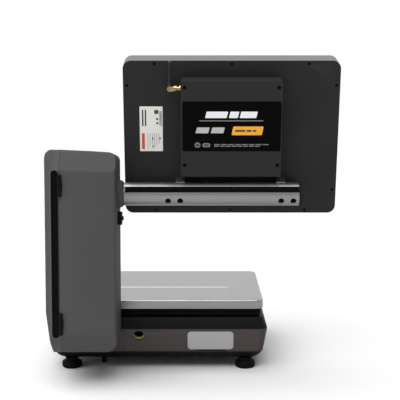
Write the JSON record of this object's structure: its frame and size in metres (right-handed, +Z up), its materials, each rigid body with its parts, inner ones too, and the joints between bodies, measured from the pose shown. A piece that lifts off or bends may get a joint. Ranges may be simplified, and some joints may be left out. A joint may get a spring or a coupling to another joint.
{
  "type": "self-service label scale",
  "caption": "Counter label scale: weighing base with platter, side printer tower with swinging door, tilting screen on a round rail.",
  "frame": {"origin": "centre of the bounding box at the ground, under the four feet", "axes": "+Z up, +Y towards the rear with the computer box, +X towards the printer tower"},
  "size_m": [0.48, 0.376, 0.5338],
  "materials": {
    "charcoal_plastic": "fine moulded grain",
    "base_plastic": "fine moulded grain",
    "dark_plastic": "fine moulded grain",
    "black_trim": "semi gloss",
    "hinge_black": "satin black",
    "pin_steel": "plain turned steel",
    "stainless": "fine brushed",
    "tray_black": "satin black paint",
    "plate_silver": "satin",
    "cast_alloy": "plain",
    "foot_rubber": "matte",
    "level_cup": "smooth",
    "level_green": "liquid filled vial",
    "circuit_board": "green solder mask",
    "supply_case": "perforated sheet",
    "jack_black": "smooth",
    "frame_steel": "zinc plated",
    "hub_blue": "smooth",
    "cardboard": "plain",
    "label_paper": "wound edges",
    "gear_nylon": "smooth",
    "motor_black": "satin",
    "pinion_brass": "turned",
    "head_alloy": "satin",
    "knob_black": "fine grain",
    "collar_plastic": "smooth",
    "rail_aluminium": "satin anodised",
    "bracket_grey": "satin",
    "frame_silver": "satin anodised",
    "cover_black": "fine powder coat",
    "box_black": "fine powder coat",
    "screen_glass": "black bordered glass",
    "panel_metal": "plain",
    "screw_black": "black oxide",
    "plate_black": "printed film",
    "label_white": "printed film",
    "brass": "gold plated",
    "antenna_black": "smooth"
  },
  "bodies": {
    "base": {"base_pan": "dark_plastic", "base_shell": "base_plastic", "base_collar": "dark_plastic", "rear_panel": "base_plastic", "rating_plate": "plate_silver", "bubble_level": "level_cup", "level_vial": "level_green", "transit_peg": "foot_rubber", "foot_bosses": "dark_plastic", "load_cell": "cast_alloy", "cell_blocks": "cast_alloy", "spider": "cast_alloy", "spider_pads": "foot_rubber", "sub_platter": "tray_black", "scale_board": "circuit_board", "power_supply": "supply_case", "power_jack": "jack_black", "tower_arms": "pin_steel", "tower_shell": "charcoal_plastic", "tower_boss": "charcoal_plastic", "door_catch": "black_trim", "hinge_fixed": "hinge_black", "hinge_pins": "pin_steel", "roll_spindle": "pin_steel", "printer_frame": "frame_steel", "print_motor": "motor_black", "printer_board": "circuit_board"},
    "platter_body": {"platter": "stainless"},
    "door": {"door_shell": "charcoal_plastic", "door_trim": "black_trim", "hinge_moving": "hinge_black"},
    "foot_1": {"foot_rear_left": "foot_rubber"},
    "foot_2": {"foot_rear_right": "foot_rubber"},
    "foot_3": {"foot_front_left": "foot_rubber"},
    "foot_4": {"foot_front_right": "foot_rubber"},
    "roll": {"roll_hub": "hub_blue", "roll_core": "cardboard", "label_roll": "label_paper"},
    "platen": {"platen_roller": "foot_rubber", "platen_gear": "gear_nylon"},
    "pinion": {"motor_pinion": "pinion_brass"},
    "head": {"print_head": "head_alloy"},
    "knob": {"clamp_knob": "knob_black"},
    "screen": {"tilt_shaft": "pin_steel", "shaft_collar": "collar_plastic", "rail": "rail_aluminium", "rail_trim": "black_trim", "screen_brackets": "bracket_grey", "bezel_frame": "frame_silver", "screen_back": "cover_black", "touch_glass": "screen_glass", "lcd_panel": "panel_metal", "screen_screws": "screw_black", "box_cover": "box_black", "computer_parts": "circuit_board", "name_plate": "plate_black", "service_label": "label_white", "antenna_socket": "brass"},
    "aerial_elbow": {"antenna_elbow": "brass"},
    "aerial_rod": {"antenna_rod": "antenna_black"}
  },
  "joints": [
    {"name": "platter_lift", "type": "slide", "parent": "base", "child": "platter_body", "axis": [0, 0, 1], "range_m": [0, 0.03]},
    {"name": "door_swing", "type": "hinge", "parent": "base", "child": "door", "pos_m": [0.203, 0.1845, 0.22], "axis": [0, 0, 1], "range_deg": [0, 110]},
    {"name": "foot_1_turn", "type": "hinge", "parent": "base", "child": "foot_1", "pos_m": [0.203, 0.045, 0.02], "axis": [0, 0, 1], "continuous": true},
    {"name": "foot_2_turn", "type": "hinge", "parent": "base", "child": "foot_2", "pos_m": [-0.095, 0.045, 0.02], "axis": [0, 0, 1], "continuous": true},
    {"name": "foot_3_turn", "type": "hinge", "parent": "base", "child": "foot_3", "pos_m": [0.203, -0.155, 0.02], "axis": [0, 0, 1], "continuous": true},
    {"name": "foot_4_turn", "type": "hinge", "parent": "base", "child": "foot_4", "pos_m": [-0.095, -0.155, 0.02], "axis": [0, 0, 1], "continuous": true},
    {"name": "roll_spin", "type": "hinge", "parent": "base", "child": "roll", "pos_m": [0.159, 0.127, 0.252], "axis": [1, 0, 0], "continuous": true},
    {"name": "platen_turn", "type": "hinge", "parent": "base", "child": "platen", "pos_m": [0.158, 0.098, 0.16], "axis": [1, 0, 0], "continuous": true},
    {"name": "pinion_turn", "type": "hinge", "parent": "base", "child": "pinion", "pos_m": [0.198, 0.122, 0.142], "axis": [1, 0, 0], "continuous": true},
    {"name": "head_lift", "type": "hinge", "parent": "base", "child": "head", "pos_m": [0.158, 0.132, 0.173], "axis": [-1, 0, 0], "range_deg": [0, 35]},
    {"name": "knob_turn", "type": "hinge", "parent": "base", "child": "knob", "pos_m": [0.112, 0.126, 0.27], "axis": [1, 0, 0], "range_deg": [0, 180]},
    {"name": "screen_tilt", "type": "hinge", "parent": "base", "child": "screen", "pos_m": [0, 0.126, 0.31], "axis": [1, 0, 0], "range_deg": [-17, 13]},
    {"name": "antenna_turn", "type": "hinge", "parent": "screen", "child": "aerial_elbow", "pos_m": [0.0313, 0.15447, 0.4809], "axis": [1, 0, 0], "range_deg": [-180, 0]},
    {"name": "antenna_fold", "type": "hinge", "parent": "aerial_elbow", "child": "aerial_rod", "pos_m": [0.0313, 0.15447, 0.4809], "axis": [0, 0.9744, -0.225], "range_deg": [0, 90]}
  ],
  "couplings": [
    {"joint": "pinion_turn", "follows": "platen_turn", "ratio": -2}
  ]
}
